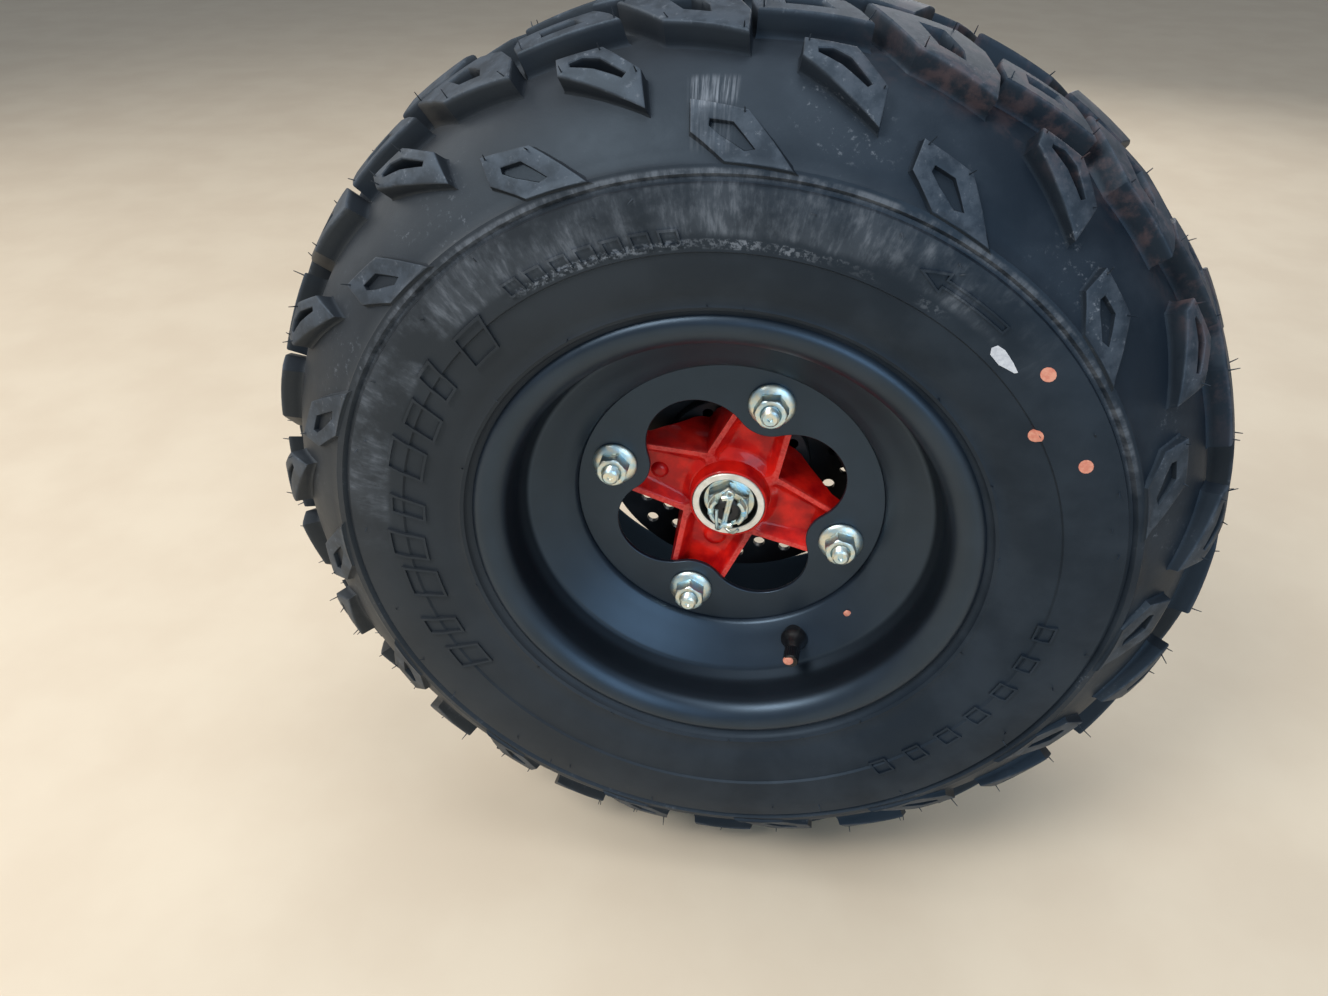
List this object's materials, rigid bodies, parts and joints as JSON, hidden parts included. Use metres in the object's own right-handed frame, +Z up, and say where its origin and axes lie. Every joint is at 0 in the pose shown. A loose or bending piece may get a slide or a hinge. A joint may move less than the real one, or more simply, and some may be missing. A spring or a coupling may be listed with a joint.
{
  "type": "quad bike front wheel with hub, disc brake and steering knuckle",
  "caption": "Left front wheel of a quad bike: knobbly tyre on a black steel rim, red cast hub, drilled disc brake and steering knuckle.",
  "frame": {"origin": "middle of the lower ball joint's bore in the knuckle", "axes": "+Z up along that bore, +X to the vehicle's rear, +Y inboard along the wheel's axle"},
  "size_m": [0.5588, 0.2045, 0.558],
  "materials": {
    "tyre_rubber": "matt, slightly bloomed",
    "rim_black": "satin powder coat",
    "hub_red": "gloss paint over a casting",
    "bare_steel": "turned",
    "zinc": "zinc plated",
    "disc_black": "coated, drilled",
    "knuckle_black": "gloss paint over a forging",
    "caliper_silver": "semi-gloss paint over a casting",
    "pad_lining": "backing plate and friction lining",
    "seal_rubber": "moulded",
    "cap_plastic": "moulded"
  },
  "bodies": {
    "root": {"knuckle": "knuckle_black", "spindle": "bare_steel", "axle_washer": "zinc", "castle_nut": "zinc", "cotter_pin": "zinc", "caliper_bracket": "knuckle_black", "caliper_body": "caliper_silver", "slide_pins": "zinc", "brake_pad_outboard": "pad_lining", "brake_pad_inboard": "pad_lining", "caliper_bolts": "zinc", "bleed_screw": "zinc"},
    "wheel": {"tyre": "tyre_rubber", "rim_barrel": "rim_black", "wheel_disc": "rim_black", "hub": "hub_red", "wheel_stud_1": "zinc", "wheel_stud_2": "zinc", "wheel_stud_3": "zinc", "wheel_stud_4": "zinc", "wheel_nut_1": "zinc", "wheel_nut_2": "zinc", "wheel_nut_3": "zinc", "wheel_nut_4": "zinc", "outer_bearing": "bare_steel", "inner_bearing": "bare_steel", "dust_ring": "bare_steel", "hub_seal": "seal_rubber", "brake_disc": "disc_black", "disc_bolts": "zinc", "valve_stem": "seal_rubber", "valve_cap": "cap_plastic"}
  },
  "joints": [
    {"name": "wheel_spin", "type": "hinge", "parent": "root", "child": "wheel", "pos_m": [0, -0.1, 0.075], "axis": [0, 1, 0], "continuous": true}
  ]
}
